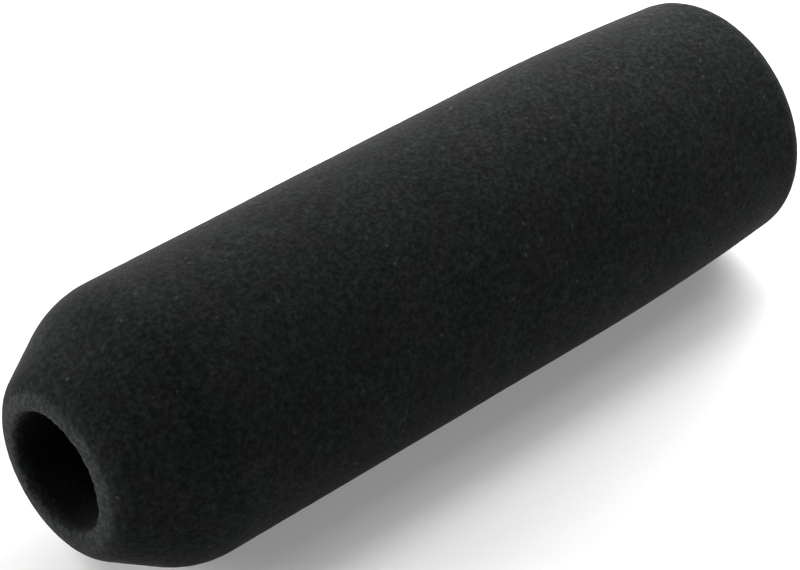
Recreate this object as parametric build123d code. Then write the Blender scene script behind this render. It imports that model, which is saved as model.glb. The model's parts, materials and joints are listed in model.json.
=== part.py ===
from build123d import *
import os

# A foam windscreen for a short shotgun microphone. It is one piece of open-cell polyurethane
# foam: a round body with a coned mouth, a rounded nose and a blind bore that grips the
# microphone's tube. It lies on its side, with its axis along +X from the mouth to the nose,
# and its origin is the centre of the mouth. Lengths are in millimetres.

# Driving dimensions.
BORE_DIAMETER = 20.0
BODY_DIAMETER = 46.0
LENGTH = 145.0
BORE_DEPTH = 128.0

# The mouth: a narrow rolled lip, then a cone that opens out to the body.
# A corner is where its two sides would meet if it weren't rounded.
LIP_CORNER_RADIUS = 14.1
LIP_ROUND = 6.0
SHOULDER_CORNER_X = 14.3
SHOULDER_ROUND = 17.0

# The nose: the body draws in a little, then turns over a tight edge into a shallow dome.
TAPER_CORNER_X = 116.5
TAPER_ROUND = 560.0
NOSE_CORNER_RADIUS = 21.1
NOSE_ROUND = 4.5
DOME_HEIGHT = 2.4

# The bore: its rim is barely broken, and its closed end is a soft corner.
BORE_RIM_ROUND = 0.4
BORE_END_ROUND = 3.0


def rounded_corner(section, corner, radius):
    """The section with the corner at this point rounded."""
    point = Vector(*corner)
    vertex = min(section.vertices(), key=lambda v: (Vector(v) - point).length)
    return section.face().fillet_2d(radius, [vertex])


def lengthwise_section():
    """The half of the lengthwise section that lies above the axis."""
    bore_radius = BORE_DIAMETER / 2
    body_radius = BODY_DIAMETER / 2
    bore_end = (BORE_DEPTH, bore_radius)
    bore_rim = (0, bore_radius)
    lip = (0, LIP_CORNER_RADIUS)
    shoulder = (SHOULDER_CORNER_X, body_radius)
    taper = (TAPER_CORNER_X, body_radius)
    nose = (LENGTH - DOME_HEIGHT, NOSE_CORNER_RADIUS)
    tip = (LENGTH, 0)
    walls = Polyline(tip, (BORE_DEPTH, 0), bore_end, bore_rim, lip, shoulder, taper, nose)
    dome = TangentArc(tip, nose, tangent=(0, 1))
    section = make_face(walls.edges() + dome.edges())
    section = rounded_corner(section, bore_end, BORE_END_ROUND)
    section = rounded_corner(section, bore_rim, BORE_RIM_ROUND)
    section = rounded_corner(section, lip, LIP_ROUND)
    section = rounded_corner(section, shoulder, SHOULDER_ROUND)
    section = rounded_corner(section, taper, TAPER_ROUND)
    return rounded_corner(section, nose, NOSE_ROUND)


def foam_body():
    """The whole windscreen: the section turned once round the bore's axis."""
    return revolve(lengthwise_section(), Axis.X)


os.makedirs("parts", exist_ok=True)
export_step(foam_body(), "parts/foam_body.step")
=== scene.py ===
import json
import math

import bmesh
import bpy
import numpy as np
from mathutils import Matrix, Vector, noise

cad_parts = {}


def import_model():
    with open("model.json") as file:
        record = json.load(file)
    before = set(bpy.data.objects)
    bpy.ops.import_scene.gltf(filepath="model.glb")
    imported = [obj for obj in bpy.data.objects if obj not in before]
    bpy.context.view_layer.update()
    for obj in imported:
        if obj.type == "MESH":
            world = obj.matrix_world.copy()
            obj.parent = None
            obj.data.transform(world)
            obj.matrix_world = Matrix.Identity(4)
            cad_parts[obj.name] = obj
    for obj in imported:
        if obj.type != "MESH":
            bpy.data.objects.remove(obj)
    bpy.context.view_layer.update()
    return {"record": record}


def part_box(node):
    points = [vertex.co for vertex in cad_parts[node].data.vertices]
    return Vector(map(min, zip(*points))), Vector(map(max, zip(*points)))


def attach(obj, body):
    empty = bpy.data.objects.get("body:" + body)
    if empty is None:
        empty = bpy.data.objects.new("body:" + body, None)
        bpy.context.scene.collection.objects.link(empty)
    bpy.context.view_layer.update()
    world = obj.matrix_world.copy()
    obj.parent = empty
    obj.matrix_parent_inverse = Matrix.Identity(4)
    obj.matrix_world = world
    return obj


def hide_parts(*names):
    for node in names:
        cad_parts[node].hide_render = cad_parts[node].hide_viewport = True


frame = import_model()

# The looks of the foam windscreen, in metres, in the CAD model's frame: +X runs along the
# bore from the mouth to the closed nose, the origin is the centre of the mouth, and the part
# lies on its side. Lengths written as numbers are millimetres, times MM.
MM = 0.001

CAD_NODE = "foam_body"
LOW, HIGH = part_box(CAD_NODE)
LENGTH = HIGH.x
BODY_RADIUS = HIGH.z
FLOOR_Z = LOW.z
BORE = next(m for m in frame["record"]["mounts"] if m["name"] == "mic_bore")["dims"]
BORE_RADIUS = BORE["r_mm"] * MM

# The outline's corners and their rounds. They are the CAD model's, but for a softer rim to the
# bore, and a dome that is one more rounded corner, within 0.2 mm of the CAD model's arc.
LIP_CORNER_RADIUS = 14.1 * MM
LIP_ROUND = 6.0 * MM
SHOULDER_CORNER_X = 14.3 * MM
SHOULDER_ROUND = 17.0 * MM
TAPER_CORNER_X = 116.5 * MM
TAPER_ROUND = 560.0 * MM
NOSE_CORNER_RADIUS = 21.1 * MM
NOSE_ROUND = 4.5 * MM
DOME_HEIGHT = 2.4 * MM
DOME_CORNER_RADIUS = 10.6 * MM
DOME_ROUND = 64.0 * MM
BORE_RIM_ROUND = 0.75 * MM
CAD_RIM_ROUND = 0.4 * MM
BORE_END_ROUND = 3.0 * MM
BORE_DEPTH = CAD_RIM_ROUND + BORE["length_mm"] * MM + BORE_END_ROUND
INSIDE_MARGIN = 0.01 * MM

# The mesh: the distance between neighbouring points on the skin, and deep in the bore, past
# MOUTH_DEPTH. A ring's own points may be closer together than that, down to CLOSEST of it.
SPACING = 0.28 * MM
DEEP_SPACING = 0.7 * MM
ARC_STEP = SPACING / 4
MOUTH_DEPTH = 16.0 * MM
WIDEST_RING = 512
SMALLEST_RING = 6
CLOSEST = 0.7

# The foam's relief: slow unevenness, clumps of cells, and the single cells between them. A cell
# is open within CELL_OPEN of its middle, and its struts stand from CELL_WALL on, as shares of
# its size. In the bore, the cutter's marks and the torn end. At the rim, a ragged edge.
WAVE_SIZE = 17.0 * MM
WAVE_HEIGHT = 0.06 * MM
CLUMP_SIZE = 1.3 * MM
CLUMP_HEIGHT = 0.028 * MM
CELL_SIZE = 1.0 * MM
CELL_DEPTH = 0.02 * MM
CELL_OPEN = 0.1
CELL_WALL = 0.75
MARK_PITCH = 2.3 * MM
MARK_DEPTH = 0.05 * MM
TORN_SIZE = 1.5 * MM
TORN_HEIGHT = 0.5 * MM
TORN_ROUGHNESS = 0.7
TORN_OCTAVES = 3
RAGGED_WIDTH = 1.5 * MM
RAGGED_SIZE = 0.9 * MM
RAGGED_HEIGHT = 0.2 * MM
REST_SINK = 0.1 * MM

# How pale each point of the skin is, kept as the mesh's attribute TONE: the clumps and cells, and
# painted shade that darkens the wall of the bore, full within the depth given last.
TONE = "tone"
CLUMP_TONE = 0.42
CELL_TONE = 0.32
# Painted shade in the bore: the wall's tone falls to this share within the depth below.
BORE_PAINTED_SHADE = 0.28
BORE_SHADE_DEPTH = 3.0 * MM

# The flat ring round the bore, which a knife has cut, kept as the mesh's attribute CUT. It is
# more even in tone than the rest; painted shade weakens its grey towards its bottom and into the
# bore.
CUT = "cut"
CUT_RADIUS = 13.1 * MM
CUT_EDGE = 0.5 * MM
CUT_EVENNESS = 0.45
# Painted shade: how much the cut ring's grey weakens towards its bottom.
CUT_PAINTED_LOW_SHADE = 0.5

# The foam's finish: its blacks, in patches, the grey of the cut ring, the grain of its struts,
# pale specks, and a slight sheen. The material's coordinates are in millimetres, so its sizes and
# spacings are bare millimetres. Only GRAIN_DEPTH is a length in the scene.
COOL_BLACK = (0.0055, 0.0082, 0.0074)
WARM_BLACK = (0.0069, 0.0078, 0.0071)
CUT_GREY = (0.0162, 0.0187, 0.0175)
TINT_SIZE = 7.0
PATCH_SIZE = 9.0
PATCH_DARK = 0.9
PATCH_PALE = 1.1
BLOTCH_RANGE = (0.25, 0.75)
STRUT_SIZE = 0.68
STRUT_DETAIL = 3.0
STRUT_ROUGHNESS = 0.6
STRUT_RANGE = (0.2, 0.9)
GAP_ROUGHNESS = 1.0
FIBRE_ROUGHNESS = 0.82
GRAIN_DARK = 0.6
GRAIN_PALE = 1.78
GRAIN_STRENGTH = 0.1
GRAIN_DEPTH = 0.12 * MM
SPECK_SPACING = 2.7
SPECK_RADIUS = 0.32
SPECK_EDGE = (0.3, 1.3)
SPECK_CHANCE = (0.4, 0.8)
SPECK_GREY = 0.027
FOAM_SHINE = 0.088
FOAM_SHEEN = 0.048
FOAM_SHEEN_ROUGHNESS = 0.3
FOAM_SHEEN_TINT = (1.0, 0.86, 0.78)

# The floor, and the room: a white band at the horizon, up to BAND_TOP, that fades to ROOM_GREY
# at FADE_TOP. Both heights are the sine of the elevation.
FLOOR_SIZE = 12.0
FLOOR_GREY = 0.68
FLOOR_GLOW = 0.24
ROOM_STRENGTH = 1.2
ROOM_GREY = 0.05
BAND_TOP = 0.06
FADE_TOP = 0.16

# The camera: level, looking down at the mouth's end from the side.
CAMERA_AZIMUTH = -42.74
CAMERA_ELEVATION = 36.57
CAMERA_AIM_X = 69.2 * MM
CAMERA_AIM_Z = -0.3 * MM
CAMERA_DISTANCE = 470.3 * MM
CAMERA_LENS = 132.4
CAMERA_NEAR = 0.01
CAMERA_FAR = 50.0
SENSOR_WIDTH = 36.0


def rounded_outline(corners):
    """Points (x, radius) along the corners' line, with each corner rounded by its own radius."""
    points = [Vector(corners[0][:2])]
    for before, corner, after in zip(corners, corners[1:], corners[2:]):
        here, size = Vector(corner[:2]), corner[2]
        back = (Vector(before[:2]) - here).normalized()
        ahead = (Vector(after[:2]) - here).normalized()
        half = back.angle(ahead) / 2
        centre = here + (back + ahead).normalized() * size / math.sin(half)
        start = here + back * size / math.tan(half) - centre
        end = here + ahead * size / math.tan(half) - centre
        turn = start.angle_signed(end)
        steps = math.ceil(abs(turn) * size / ARC_STEP) + 1
        for step in range(steps + 1):
            points.append(centre + Matrix.Rotation(-turn * step / steps, 2) @ start)
    points.append(Vector(corners[-1][:2]))
    return points


def skin_outline():
    """The whole skin's outline: out from the nose's middle, along the body, into the bore."""
    return rounded_outline(
        [
            (LENGTH, 0.0),
            (LENGTH, DOME_CORNER_RADIUS, DOME_ROUND),
            (LENGTH - DOME_HEIGHT, NOSE_CORNER_RADIUS, NOSE_ROUND),
            (TAPER_CORNER_X, BODY_RADIUS, TAPER_ROUND),
            (SHOULDER_CORNER_X, BODY_RADIUS, SHOULDER_ROUND),
            (0.0, LIP_CORNER_RADIUS, LIP_ROUND),
            (0.0, BORE_RADIUS, BORE_RIM_ROUND),
            (BORE_DEPTH, BORE_RADIUS, BORE_END_ROUND),
            (BORE_DEPTH, 0.0),
        ]
    )


def inside_bore(x, radius):
    return radius < BORE_RADIUS + INSIDE_MARGIN and x < BORE_DEPTH + INSIDE_MARGIN


def spacing_at(x, radius):
    """The mesh is as fine as the skin's grain, and coarser where the bore hides it."""
    if not inside_bore(x, radius):
        return SPACING
    return SPACING + (DEEP_SPACING - SPACING) * min(x / MOUTH_DEPTH, 1.0)


def ring_stations(points):
    """(x, radius) of each ring of the mesh, as far apart as the mesh's spacing asks for."""
    fine = [points[0]]
    counts = [0.0]
    for start, end in zip(points, points[1:]):
        pieces = math.ceil((end - start).length / SPACING)
        for piece in range(1, pieces + 1):
            fine.append(start.lerp(end, piece / pieces))
            step = (fine[-1] - fine[-2]).length
            counts.append(counts[-1] + step / spacing_at(*fine[-1]))
    wanted = np.linspace(0.0, counts[-1], math.ceil(counts[-1]) + 1)
    xs = np.interp(wanted, counts, [p.x for p in fine])
    radii = np.interp(wanted, counts, [p.y for p in fine])
    return list(zip(xs, radii))


def ring_size(x, radius):
    """Points in the ring there: the widest ring's, halved until they are far enough apart."""
    size = WIDEST_RING
    while size > SMALLEST_RING and math.tau * radius / size < CLOSEST * spacing_at(x, radius):
        size //= 2
    return size


def stitched(first, second):
    """Faces between two rings, each (where its points start, how many). One may hold twice
    as many points as the other."""
    if first[1] == second[1]:
        for i in range(first[1]):
            j = (i + 1) % first[1]
            yield first[0] + i, first[0] + j, second[0] + j, second[0] + i
        return
    few, many = sorted((first, second), key=lambda ring: ring[1])
    for i in range(few[1]):
        left = few[0] + i
        right = few[0] + (i + 1) % few[1]
        a, b, c = (many[0] + (2 * i + k) % many[1] for k in range(3))
        yield left, a, b
        yield left, b, right
        yield right, b, c


def capped(tip, ring):
    """Faces between a ring and the point that closes it."""
    start, size = ring
    for i in range(size):
        yield tip, start + i, start + (i + 1) % size


def skin_mesh():
    """The smooth skin as one closed mesh: rings of points, closed by a point at each end."""
    first, *stations, last = ring_stations(skin_outline())
    points = [(first[0], 0.0, 0.0)]
    rings = []
    for x, radius in stations:
        size = ring_size(x, radius)
        rings.append((len(points), size))
        for i in range(size):
            angle = math.tau * i / size
            points.append((x, radius * math.cos(angle), radius * math.sin(angle)))
    faces = list(capped(0, rings[0]))
    for one, other in zip(rings, rings[1:]):
        faces.extend(stitched(one, other))
    faces.extend(capped(len(points), rings[-1]))
    points.append((last[0], 0.0, 0.0))
    mesh = bpy.data.meshes.new("foam_skin")
    mesh.from_pydata(points, [], faces)
    outward = bmesh.new()
    outward.from_mesh(mesh)
    bmesh.ops.recalc_face_normals(outward, faces=outward.faces)
    outward.to_mesh(mesh)
    outward.free()
    mesh.shade_smooth()
    return mesh


def smoothly(value, low, high):
    """0 below low, 1 above high, and a smooth rise between."""
    t = min(max((value - low) / (high - low), 0.0), 1.0)
    return t * t * (3 - 2 * t)


def clump(point):
    """Up to 1 in the middle of a clump of cells, and down to -1 between clumps."""
    return noise.noise(point / CLUMP_SIZE)


def cell(point):
    """0.5 on the struts between the cells, -0.5 in the middle of an open cell."""
    distance = noise.voronoi(point / CELL_SIZE)[0][0]
    return smoothly(distance, CELL_OPEN, CELL_WALL) - 0.5


def tone(point, radius):
    """How pale the foam is there, beside its usual black, with painted shade deep in the bore."""
    grain = clump(point) * CLUMP_TONE + cell(point) * CELL_TONE
    shade = 1 + grain * (1 - CUT_EVENNESS * cut(point, radius))
    if not inside_bore(point.x, radius):
        return shade
    # Painted shade: the bore's wall darkens within a few millimetres of the mouth.
    return shade * (1 + (BORE_PAINTED_SHADE - 1) * smoothly(point.x, 0.0, BORE_SHADE_DEPTH))


def cut(point, radius):
    """1 on the flat ring round the bore and on the bore's first stretch, less deeper in the bore
    and towards the ring's bottom as painted shade, and 0 elsewhere."""
    if inside_bore(point.x, radius):
        # Painted shade: the cut grey fades into the bore.
        return 1 - smoothly(point.x, 0.0, BORE_SHADE_DEPTH)
    ring = smoothly(radius, CUT_RADIUS + CUT_EDGE, CUT_RADIUS - CUT_EDGE)
    ring *= 1 - smoothly(point.x, 0.0, BORE_RADIUS)
    # Painted shade: the ring's grey weakens towards its bottom.
    return ring * (1 - CUT_PAINTED_LOW_SHADE * smoothly(-point.z, 0.0, CUT_RADIUS))


def relief(point):
    """How far the skin stands out at a point."""
    wave = noise.noise(point / WAVE_SIZE) * WAVE_HEIGHT
    return wave + clump(point) * CLUMP_HEIGHT + cell(point) * CELL_DEPTH


def bore_relief(point):
    """The bore's wall keeps the cutter's marks, in a spiral, and its end is torn."""
    angle = math.atan2(point.z, point.y)
    mark = math.sin(math.tau * point.x / MARK_PITCH + angle) * MARK_DEPTH
    torn = max(0.0, 1 - (BORE_DEPTH - point.x) / (2 * BORE_END_ROUND))
    shreds = noise.fractal(point / TORN_SIZE, TORN_ROUGHNESS, 2.0, TORN_OCTAVES) * TORN_HEIGHT
    return mark * (1 - torn) + shreds * torn


def ragged_rim(point, radius):
    """The edge between the mouth and the bore is ragged where the knife opened cells."""
    away = math.hypot(point.x, radius - BORE_RADIUS)
    near = 1 - smoothly(away, RAGGED_WIDTH / 3, RAGGED_WIDTH)
    return noise.noise(point / RAGGED_SIZE) * RAGGED_HEIGHT * near


def roughened(mesh):
    """Moves the skin's points in and out along its normals, rests it on the floor, and gives
    each point its tone."""
    for name in (TONE, CUT):
        mesh.attributes.new(name, "FLOAT", "POINT")
    tones, cuts = mesh.attributes[TONE].data, mesh.attributes[CUT].data
    normals = [vertex.normal.copy() for vertex in mesh.vertices]
    for vertex, normal, tone_there, cut_there in zip(mesh.vertices, normals, tones, cuts):
        point = vertex.co.copy()
        radius = math.hypot(point.y, point.z)
        tone_there.value = tone(point, radius)
        cut_there.value = cut(point, radius)
        height = relief(point) + ragged_rim(point, radius)
        if inside_bore(point.x, radius):
            height += bore_relief(point) * min(point.x / BORE_RADIUS, 1.0)
        point += normal * height
        point.z = max(point.z - REST_SINK, FLOOR_Z)
        vertex.co = point
    mesh.update()
    return mesh


class Nodes:
    """A material and its node tree."""

    def __init__(self, name):
        self.material = bpy.data.materials.new(name)
        self.material.use_nodes = True
        self.tree = self.material.node_tree
        self.tree.nodes.clear()

    def add(self, kind, settings=None, **sockets):
        """Adds a node. A socket's value is a number, a colour or another node's output."""
        node = self.tree.nodes.new("ShaderNode" + kind)
        for name, value in (settings or {}).items():
            setattr(node, name, value)
        for name, value in sockets.items():
            self.fill(node.inputs[name.replace("_", " ")], value)
        return node

    def fill(self, socket, value):
        """Links another node's output to the socket, or sets the socket's own value."""
        if isinstance(value, bpy.types.NodeSocket):
            self.tree.links.new(value, socket)
        else:
            socket.default_value = value

    def product(self, first, second):
        """The two values multiplied."""
        node = self.add("Math", {"operation": "MULTIPLY"})
        for socket, value in zip(node.inputs, (first, second)):
            self.fill(socket, value)
        return node.outputs[0]

    def ranged(self, value, low, high, to_low, to_high):
        """The value's stretch from low to high, mapped smoothly to another stretch."""
        node = self.add(
            "MapRange",
            {"interpolation_type": "SMOOTHSTEP"},
            Value=value,
            From_Min=low,
            From_Max=high,
            To_Min=to_low,
            To_Max=to_high,
        )
        return node.outputs[0]


def scaled(nodes, vector, factor):
    """The vector or colour, times the factor."""
    return nodes.add("VectorMath", {"operation": "SCALE"}, Vector=vector, Scale=factor).outputs[0]


def mottled(nodes, place, size, low, high):
    """A soft random value from low to high, in blotches of about that size."""
    blotch = nodes.add("TexNoise", Vector=place, Scale=1 / size, Detail=1.0)
    return nodes.ranged(blotch.outputs["Fac"], *BLOTCH_RANGE, low, high)


# Sparse pale specks in the base colour.
def pale_specks(nodes, place):
    """The grey of a few pale specks, some fainter than others, and 0 elsewhere."""
    speck = nodes.add("TexVoronoi", {"feature": "F1"}, Vector=place, Scale=1 / SPECK_SPACING)
    inner, outer = (share * SPECK_RADIUS / SPECK_SPACING for share in SPECK_EDGE)
    dot = nodes.ranged(speck.outputs["Distance"], inner, outer, 1.0, 0.0)
    grey = nodes.ranged(speck.outputs["Color"], *SPECK_CHANCE, 0.0, SPECK_GREY)
    return nodes.product(dot, grey)


def foam_material():
    """Black open-cell foam, a little greener or warmer in patches, with pale specks."""
    nodes = Nodes("black_open_cell_foam")
    place = scaled(nodes, nodes.add("TexCoord").outputs["Object"], 1 / MM)
    fibres = nodes.add(
        "TexNoise",
        Vector=place,
        Scale=1 / STRUT_SIZE,
        Detail=STRUT_DETAIL,
        Roughness=STRUT_ROUGHNESS,
    )
    strut = nodes.ranged(fibres.outputs["Fac"], *STRUT_RANGE, 0.0, 1.0)
    # The tone attribute holds painted shade in the bore besides the foam's grain.
    shade = nodes.add("Attribute", {"attribute_name": TONE}).outputs["Fac"]
    grain = nodes.ranged(strut, 0.0, 1.0, GRAIN_DARK, GRAIN_PALE)
    patch = mottled(nodes, place, PATCH_SIZE, PATCH_DARK, PATCH_PALE)
    shade = nodes.product(nodes.product(shade, grain), patch)
    tint = nodes.add(
        "Mix",
        {"data_type": "RGBA"},
        Factor=mottled(nodes, place, TINT_SIZE, 0.0, 1.0),
        A=(*COOL_BLACK, 1.0),
        B=(*WARM_BLACK, 1.0),
    )
    # The cut attribute holds painted shade towards the ring's bottom and into the bore.
    ringed = nodes.add(
        "Mix",
        {"data_type": "RGBA"},
        Factor=nodes.add("Attribute", {"attribute_name": CUT}).outputs["Fac"],
        A=tint.outputs["Result"],
        B=(*CUT_GREY, 1.0),
    )
    colour = nodes.add(
        "VectorMath",
        {"operation": "ADD"},
        Vector=scaled(nodes, ringed.outputs["Result"], shade),
    )
    nodes.fill(colour.inputs[1], pale_specks(nodes, place))
    bump = nodes.add("Bump", Height=strut, Strength=GRAIN_STRENGTH, Distance=GRAIN_DEPTH)
    shader = nodes.add(
        "BsdfPrincipled",
        Base_Color=colour.outputs["Vector"],
        Roughness=nodes.ranged(strut, 0.0, 1.0, GAP_ROUGHNESS, FIBRE_ROUGHNESS),
        Specular_IOR_Level=FOAM_SHINE,
        Sheen_Weight=FOAM_SHEEN,
        Sheen_Roughness=FOAM_SHEEN_ROUGHNESS,
        Sheen_Tint=(*FOAM_SHEEN_TINT, 1.0),
        Normal=bump.outputs[0],
    )
    nodes.add("OutputMaterial", Surface=shader.outputs[0])
    return nodes.material


def floor_material():
    """A matt floor that also glows a little, so that the shadows stay pale."""
    nodes = Nodes("pale_floor")
    shader = nodes.add(
        "BsdfPrincipled",
        Base_Color=(FLOOR_GREY, FLOOR_GREY, FLOOR_GREY, 1.0),
        Roughness=1.0,
        Specular_IOR_Level=0.0,
        Emission_Color=(1.0, 1.0, 1.0, 1.0),
        Emission_Strength=FLOOR_GLOW,
    )
    nodes.add("OutputMaterial", Surface=shader.outputs[0])
    return nodes.material


def linked(name, data):
    """A new object in the scene."""
    piece = bpy.data.objects.new(name, data)
    bpy.context.scene.collection.objects.link(piece)
    return piece


def windscreen():
    """The foam, in one piece, in place of the CAD model's plain solid."""
    piece = linked("foam_windscreen", roughened(skin_mesh()))
    piece.data.materials.append(foam_material())
    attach(piece, "root")
    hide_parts(CAD_NODE)


def floor():
    """A square floor, on which the part lies."""
    half = FLOOR_SIZE / 2
    sides = [(-half, -half), (half, -half), (half, half), (-half, half)]
    mesh = bpy.data.meshes.new("floor")
    mesh.from_pydata([(x, y, FLOOR_Z) for x, y in sides], [], [(0, 1, 2, 3)])
    mesh.materials.append(floor_material())
    linked("floor", mesh)


def sun(name, azimuth, elevation, strength, angle):
    """A soft lamp far away. Its angle is how wide it looks from the part, in degrees."""
    lamp = bpy.data.lights.new(name, "SUN")
    lamp.energy = strength
    lamp.angle = math.radians(angle)
    piece = linked(name, lamp)
    piece.rotation_mode = "QUATERNION"
    piece.rotation_quaternion = direction(azimuth, elevation).to_track_quat("Z", "Y")


def softbox(name, azimuth, elevation, distance, size, power):
    """A square soft lamp near the nose, at that distance from it."""
    lamp = bpy.data.lights.new(name, "AREA")
    lamp.energy = power
    lamp.size = size
    piece = linked(name, lamp)
    away = direction(azimuth, elevation)
    piece.rotation_mode = "QUATERNION"
    piece.rotation_quaternion = away.to_track_quat("Z", "Y")
    piece.location = away * distance + Vector((LENGTH, 0.0, 0.0))


def direction(azimuth, elevation):
    """Towards a viewer there: azimuth 0 stands at -Y, 90 at +X; elevation is above the floor."""
    a, e = math.radians(azimuth), math.radians(elevation)
    return Vector((math.sin(a) * math.cos(e), -math.cos(a) * math.cos(e), math.sin(e)))


def world():
    """A dim room with a pale band round the horizon."""
    made = bpy.data.worlds.new("room")
    made.use_nodes = True
    tree = made.node_tree
    background = tree.nodes["Background"]
    background.inputs["Strength"].default_value = ROOM_STRENGTH
    place = tree.nodes.new("ShaderNodeTexCoord")
    split = tree.nodes.new("ShaderNodeSeparateXYZ")
    ramp = tree.nodes.new("ShaderNodeValToRGB")
    tree.links.new(place.outputs["Generated"], split.inputs[0])
    tree.links.new(split.outputs["Z"], ramp.inputs[0])
    tree.links.new(ramp.outputs[0], background.inputs[0])
    stops = ramp.color_ramp.elements
    stops[0].position = BAND_TOP
    stops[0].color = (1, 1, 1, 1)
    stops[1].position = FADE_TOP
    stops[1].color = (ROOM_GREY, ROOM_GREY, ROOM_GREY, 1)
    bpy.context.scene.world = made


def camera():
    """The camera, which looks down its own -Z axis at the aim."""
    data = bpy.data.cameras.new("camera")
    data.lens = CAMERA_LENS
    data.sensor_width = SENSOR_WIDTH
    data.clip_start = CAMERA_NEAR
    data.clip_end = CAMERA_FAR
    piece = linked("camera", data)
    back = direction(CAMERA_AZIMUTH, CAMERA_ELEVATION)
    piece.rotation_mode = "QUATERNION"
    piece.rotation_quaternion = back.to_track_quat("Z", "Y")
    piece.location = Vector((CAMERA_AIM_X, 0.0, CAMERA_AIM_Z)) + back * CAMERA_DISTANCE
    bpy.context.scene.camera = piece


windscreen()
floor()
world()
sun("back_right", 135.0, 28.0, 3.1, 50.0)
sun("back_left", -130.0, 10.0, 4.2, 25.0)
sun("left", -105.0, 60.0, 1.36, 20.0)
softbox("nose", 100.0, 50.0, 0.18, 0.2, 0.74)
camera()
bpy.context.scene.view_settings.view_transform = "Standard"
